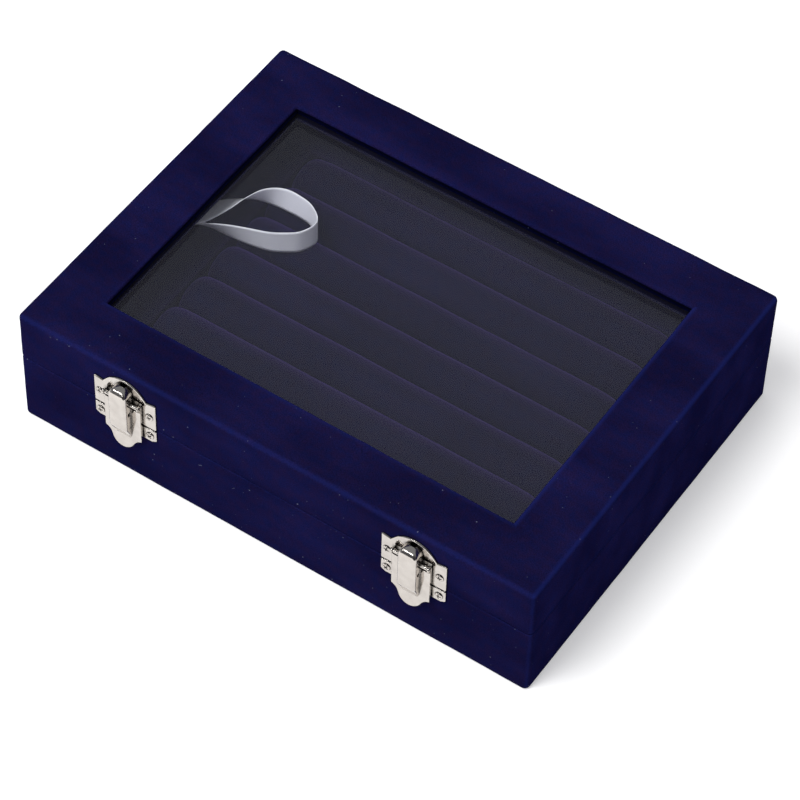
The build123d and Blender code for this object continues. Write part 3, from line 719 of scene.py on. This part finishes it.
lid_velvet = velvet_cover("lid_velvet", lid_profile, 11, cover_puff)
base_velvet = velvet_cover("base_velvet", base_profile, 23, cover_puff)
for piece, body, node in ((lid_velvet, "lid", "lid_cover"), (base_velvet, "base", "base_cover")):
    piece.data.materials.append(outer_velvet)
    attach(piece, body)
    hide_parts(node)
print("profiles", len(lid_profile), "and", len(base_profile), "points")

# %% [markdown]
# ## The padded insert
# Seven foam rolls wrapped in velvet stand side by side in a well, and the earrings are pushed down
# between them. A roll is a cut of foam with a round crown: the cloth is pulled in at its foot, and
# gathers a little towards its ends. Its cross-section is a crown on drawn-in sides, carried along the
# box and shrinking quickly to a small flat end. A soft line of sheen is painted along the far
# shoulder.

# %% Make the rolls
draw_in, end_power, end_size = 0.045, 34, 0.30
roll_wave, roll_puff, roll_sink, gather_height = 0.030, 0.16 * mm, 0.18 * mm, 0.10 * mm


def roll_points(box_low, box_high, seed):
    """A roll along X and its painted sheen. Across it, half a circle for the crown, and sides that
    draw in by the square of the way down to a flat foot. Along it, that outline shrinks by the square
    root of one minus the 34th power of the way out, its width less than its height. Soft waves lower
    the crown and small ripples gather at the ends. The painted sheen is the cosine of the way round
    from the far side to the crest, to the power 1.3, and a tenth more at the very ends."""
    low, high = np.array(box_low) / mm, np.array(box_high) / mm
    half_length = (high[0] - low[0]) / 2
    half_width = (high[1] - low[1]) / 2
    middle_y = (high[1] + low[1]) / 2
    shoulder = high[2] - half_width
    turn = np.linspace(0, math.pi, 25)
    crown_y = half_width * np.cos(turn)
    crown_z = shoulder + half_width * np.sin(turn)
    drop = np.linspace(0, 1, 12)[1:]
    side_z = shoulder + (low[2] - shoulder) * drop
    side_y = half_width * (1 - draw_in * drop ** 2)
    foot = np.linspace(-1, 1, 9)[1:-1] * side_y[-1]
    outline_y = np.concatenate([crown_y, -side_y, foot, side_y[::-1]])
    outline_z = np.concatenate([crown_z, side_z, np.full(len(foot), low[2]), side_z[::-1]])
    way = np.sin(np.linspace(-math.pi / 2, math.pi / 2, 121))
    shrink = np.clip(1 - np.abs(way) ** end_power, 0.0, 1) ** 0.5
    shrink = np.maximum(shrink, end_size)
    centre_z = (low[2] + high[2]) / 2
    x = np.broadcast_to((way * half_length)[:, None], (len(way), len(outline_y)))
    y = middle_y + outline_y[None, :] * (0.35 + 0.65 * shrink[:, None])
    z = centre_z + (outline_z - centre_z)[None, :] * shrink[:, None]
    points = np.stack([x, y, z], axis=-1) * mm
    lift = np.clip((z - shoulder) / half_width, 0, 1)
    sag = soft_waves(points, seed, roll_wave, roll_puff) - roll_sink
    points[..., 2] += sag * lift
    gather = np.abs(way)[:, None] ** 14 * lift
    points[..., 2] += gather_height * np.sin(y * 4.2 + seed) * gather
    # Painted sheen along the far shoulder, and a little at the ends.
    far_shoulder_sheen = np.clip(np.concatenate([np.cos(turn), np.zeros(len(outline_y) - len(turn))]), 0, 1)
    painted_light = np.clip(far_shoulder_sheen[None, :] ** 1.3 + 0.1 * np.abs(way)[:, None] ** 40, 0, 1)
    return points, painted_light


rolls = sorted(name for name in nodes if name.startswith("padded_roll_"))
for number, name in enumerate(rolls):
    points, painted_light = roll_points(*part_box(name), 40 + number)
    roll = surface_piece(f"velvet_roll_{number + 1}", points, close_across=True, painted_light=painted_light, ends=(0, -1))
    roll.data.materials.append(inner_velvet)
    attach(roll, "base")
    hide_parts(name)
print("rolls", len(rolls))

# %% [markdown]
# Round the rolls runs a border of card and foam under the same velvet. Here the profile goes between
# two rectangles that aren't parallel copies, wide at the ends and narrow along the sides, so each ring
# of its top is placed by its share of the way from the outer rectangle to the inner one. At the left
# end its wall stands back a little, and the tail of the ribbon goes down in the gap.

# %% Make the border round the rolls
border_low, border_high = (np.array(corner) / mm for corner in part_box("insert_border"))
well = np.array([75.0, 57.85])
well_corner, border_round = 0.8, 1.6
tail_y, tail_reach, tail_gap = 3.0, 6.0, 1.5 * mm
border_wave, border_puff, border_sink = 0.022, 0.12 * mm, 0.15 * mm
wall_rows, bend_rows, top_rows = 6, 7, 8
outer_half = border_high[:2]
band = outer_half - well
foot_level, crown_level = border_low[2], border_high[2]
bend_level = crown_level - border_round
profile = np.vstack([
    [[0.0, foot_level, 0.0]], run((0, foot_level), (0, bend_level), wall_rows),
    bend(border_round, bend_level, border_round, 0, 90, bend_rows),
    run((border_round, crown_level), (-border_round, crown_level), top_rows),
    bend(-border_round, bend_level, border_round, 90, 180, bend_rows),
    run((0, bend_level), (0, foot_level), wall_rows), [[0.0, foot_level, 0.0]]])
top_from = 1 + wall_rows + bend_rows
on_well_side = np.arange(len(profile)) >= top_from + top_rows
way_in = np.where(on_well_side[:, None], band + profile[:, :1], profile[:, :1])
share = np.linspace(0, 1, top_rows + 2)[1:-1, None]
way_in[top_from:top_from + top_rows] = border_round * (1 - share) + (band - border_round) * share
ring_half = outer_half - way_in
points = ringed_surface(ring_half[:, 0], ring_half[:, 1], np.full(len(profile), well_corner),
                        profile[:, 1])
beside_tail = np.clip(1 - (np.abs(points[..., 1] / mm - tail_y) / tail_reach) ** 6, 0, 1)
points[..., 0] += np.where(points[..., 0] / mm < -outer_half[0] + 2.0, tail_gap * beside_tail, 0)
plump = np.clip((points[..., 2] / mm - crown_level + 3) / 3, 0, 1)
points[..., 2] += (soft_waves(points, 71, border_wave, border_puff) - border_sink) * plump
# Painted sheen along the border's bends, at half the profile's value.
border_painted_sheen = np.broadcast_to(0.5 * profile[:, 2:], points.shape[:2])
border = surface_piece("velvet_border", points, close_along=True, close_across=True, painted_light=border_painted_sheen)
border.data.materials.append(inner_velvet)
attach(border, "base")
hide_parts("insert_border")
print("border", [round(float(width), 2) for width in band], "mm wide at the ends and sides")

# %% [markdown]
# ## The lift ribbon
# A satin ribbon is sewn under the border with both ends together, and lifts the insert out. It leaves
# the border flat, then its two halves turn up on their edge and part into a loop. A ribbon bends
# easily one way only, so it is drawn as a centre line with a lean at each point: the lean says how
# many degrees its width has tipped from upright towards the front. First comes the helper that
# draws a smooth line through a few points.


# %% Draw a smooth line
def smooth_path(points, steps):
    """A Catmull-Rom curve through the points: between two of them a cubic whose slope at each is half
    the way between its neighbours. Then evened out to equal steps along its length."""
    ends = np.vstack([2 * points[0] - points[1], points, 2 * points[-1] - points[-2]])[:, None]
    t = np.linspace(0, 1, 24, endpoint=False)[:, None]
    a, b, c, d = ends[:-3], ends[1:-2], ends[2:-1], ends[3:]
    parts = 0.5 * (2 * b + (c - a) * t + (2 * a - 5 * b + 4 * c - d) * t ** 2
                   + (3 * b - a - 3 * c + d) * t ** 3)
    dense = np.vstack([parts.reshape(-1, points.shape[1]), points[-1:]])
    travelled = np.concatenate([[0], np.cumsum(np.linalg.norm(np.diff(dense[:, :3], axis=0), axis=1))])
    even = np.linspace(0, travelled[-1], steps)
    return np.stack([np.interp(even, travelled, dense[:, k]) for k in range(dense.shape[1])], axis=1)


print("helper", smooth_path.__name__)

# %% [markdown]
# The path is written as x, y, z in millimetres and the lean in degrees. It starts under the border,
# goes back and round the loop with the clock, seen from above, and returns beside its start. Across
# each point the width is laid square to the line, and a modifier gives the satin its thickness.

# %% Make the ribbon
ribbon_path = np.array([
    (-92.5, 3.0, 18.5, 90), (-92.5, 3.0, 23.0, 90), (-92.3, 3.1, 27.0, 90), (-91.2, 3.5, 30.6, 90),
    (-88.6, 5.0, 32.4, 90), (-84.2, 10.4, 33.6, 88), (-79.8, 15.7, 35.0, 76), (-75.4, 20.4, 36.4, 50),
    (-71.8, 23.3, 37.0, 24), (-67.9, 25.2, 37.2, 6), (-63.5, 26.3, 37.2, -4), (-58.3, 26.3, 37.2, -4),
    (-53.1, 25.4, 37.1, -2), (-48.3, 22.2, 37.1, 0), (-47.3, 18.6, 37.1, 0), (-49.4, 13.6, 37.0, 1),
    (-53.3, 10.3, 37.0, 2), (-58.2, 7.8, 36.7, 4), (-65.0, 6.4, 35.9, 9), (-72.1, 5.5, 34.7, 18),
    (-79.2, 4.5, 33.4, 33), (-84.5, 3.8, 32.4, 52), (-88.7, 3.4, 31.6, 78), (-90.9, 3.1, 29.8, 90),
    (-91.7, 3.0, 26.6, 90), (-91.9, 3.0, 22.6, 90), (-91.9, 3.0, 18.5, 90)], dtype=float)
ribbon_width, ribbon_thick = 10.0, 0.22
line = smooth_path(ribbon_path, 260)
centre = line[:, :3]
lean = np.radians(line[:, 3])
tangent = np.gradient(centre, axis=0)
tangent /= np.linalg.norm(tangent, axis=1)[:, None]
across = np.stack([np.zeros(len(lean)), -np.sin(lean), np.cos(lean)], axis=1)
across -= tangent * np.sum(across * tangent, axis=1)[:, None]
across /= np.linalg.norm(across, axis=1)[:, None]
offsets = np.linspace(-ribbon_width / 2, ribbon_width / 2, 11)
ribbon_points = (centre[:, None, :] + across[:, None, :] * offsets[None, :, None]) * mm
ribbon = surface_piece("satin_ribbon", ribbon_points)
thickness = ribbon.modifiers.new("thickness", "SOLIDIFY")
thickness.thickness = ribbon_thick * mm
thickness.offset = 0.0
ribbon.data.materials.append(satin)
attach(ribbon, "base")
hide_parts("lift_ribbon")

# %% [markdown]
# ## Screws and nails
# A screw head a few millimetres across still catches the eye by its cross slot. Each head is a disc
# of rings and spokes whose height is a low dome, less a groove wherever a point lies near one of the
# slot's two arms. Its shank is only a plain stem into the board, closed at the end.

# %% Shape a screw or a nail
spokes, lip, point_length = 72, 0.06, 0.8
side_slope, end_slope = 0.10, 0.25


def headed_points(radius, dome, stem_radius, stem_length, slot_half, slot_reach, slot_depth, turned):
    """A head and stem about the axis w, in its own axes (u, v, w): rings from the middle of the head
    out to its rim, back under it to the stem and down. Height is the dome's cap, one minus the fifth
    power of the share of the radius, less the slot's depth inside the two crossing arms. The last
    values say where shade is painted: in the slot, and four fifths as much round the rim."""
    share = np.linspace(0.02, 1, 22)
    ring = np.concatenate([share * radius, [stem_radius, stem_radius, stem_radius * 0.4]])
    height = np.concatenate([dome * (1 - share ** 5) + lip,
                             [0.0, -stem_length, -stem_length - point_length]])
    angle = np.linspace(0, 2 * math.pi, spokes, endpoint=False)
    u = ring[:, None] * np.cos(angle)
    v = ring[:, None] * np.sin(angle)
    w = np.broadcast_to(height[:, None], u.shape).copy()
    arm_u = u * math.cos(turned) + v * math.sin(turned)
    arm_v = -u * math.sin(turned) + v * math.cos(turned)

    def in_arm(side, along):
        edge = np.clip((slot_half - np.abs(side)) / side_slope, 0, 1)
        end = np.clip((slot_reach - np.abs(along)) / end_slope, 0, 1)
        return edge * end

    groove = np.maximum(in_arm(arm_u, arm_v), in_arm(arm_v, arm_u)) * (w >= lip)
    w -= slot_depth * groove
    # Painted shade round the rim of the head, as in a gap there.
    rim = np.clip((ring / radius - 0.90) / 0.08, 0, 1)[:, None]
    return u, v, w, np.maximum(groove, 0.8 * rim)


print("helper", headed_points.__name__)

# %% [markdown]
# The catches' plates are held by four screws on the lid and four on the base, and the hinges by nails
# in the same way. Each four are one piece made of separate heads, and a screw's slot points wherever
# the driver left it, by a draw of chance.

# %% Set the screws and nails
parting = 29.4
seat_out = 75.8
catch_middle, screw_aside, hinge_middle, nail_aside = 56.3, 9.95, 60.0, 5.0
screw_sizes = (1.55, 0.50, 0.8, 4.6, 0.26, 1.05, 0.35)
nail_sizes = (1.2, 0.35, 0.6, 4.4, 0.0, 0.0, 0.0)


def headed_row(name, seats, outward, sizes, body, node, material, seed):
    """One piece of separate screws or nails, each at its seat and pointing outward along Y."""
    chance = np.random.default_rng(seed)
    parts = []
    for seat in seats:
        u, v, w, painted_shade = headed_points(*sizes, chance.uniform(0, math.pi / 2))
        x = seat[0] + u
        y = seat[1] + outward * w
        z = seat[2] - outward * v
        parts.append((np.stack([x, y, z], axis=-1) * mm, painted_shade))
    pieces = [surface_piece(f"{name}_{k}", part, close_across=True, painted_light=painted_shade, ends=(0, -1))
              for k, (part, painted_shade) in enumerate(parts)]
    with bpy.context.temp_override(active_object=pieces[0], selected_editable_objects=pieces):
        bpy.ops.object.join()
    whole = pieces[0]
    whole.name = name
    whole.data.name = name
    whole.data.materials.append(material)
    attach(whole, body)
    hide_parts(node)


screw_x = [side * catch_middle + way * screw_aside for side in (-1, 1) for way in (-1, 1)]
nail_x = [side * hinge_middle + way * nail_aside for side in (-1, 1) for way in (-1, 1)]
for name, body, height in (("lid_screws", "lid", 6.2), ("base_screws", "base", -3.2)):
    seats = [(x, -seat_out, parting + height) for x in screw_x]
    node = f"{body}_catch_screws"
    headed_row(name, seats, -1, screw_sizes, body, node, screw_nickel, len(name))
for name, body, height in (("lid_nails", "lid", 7.2), ("base_nails", "base", -7.2)):
    seats = [(x, seat_out, parting + height) for x in nail_x]
    node = f"{body}_hinge_nails"
    headed_row(name, seats, 1, nail_sizes, body, node, hinge_nickel, len(name))
print("screws at", [round(x, 2) for x in screw_x], "and nails at", nail_x)
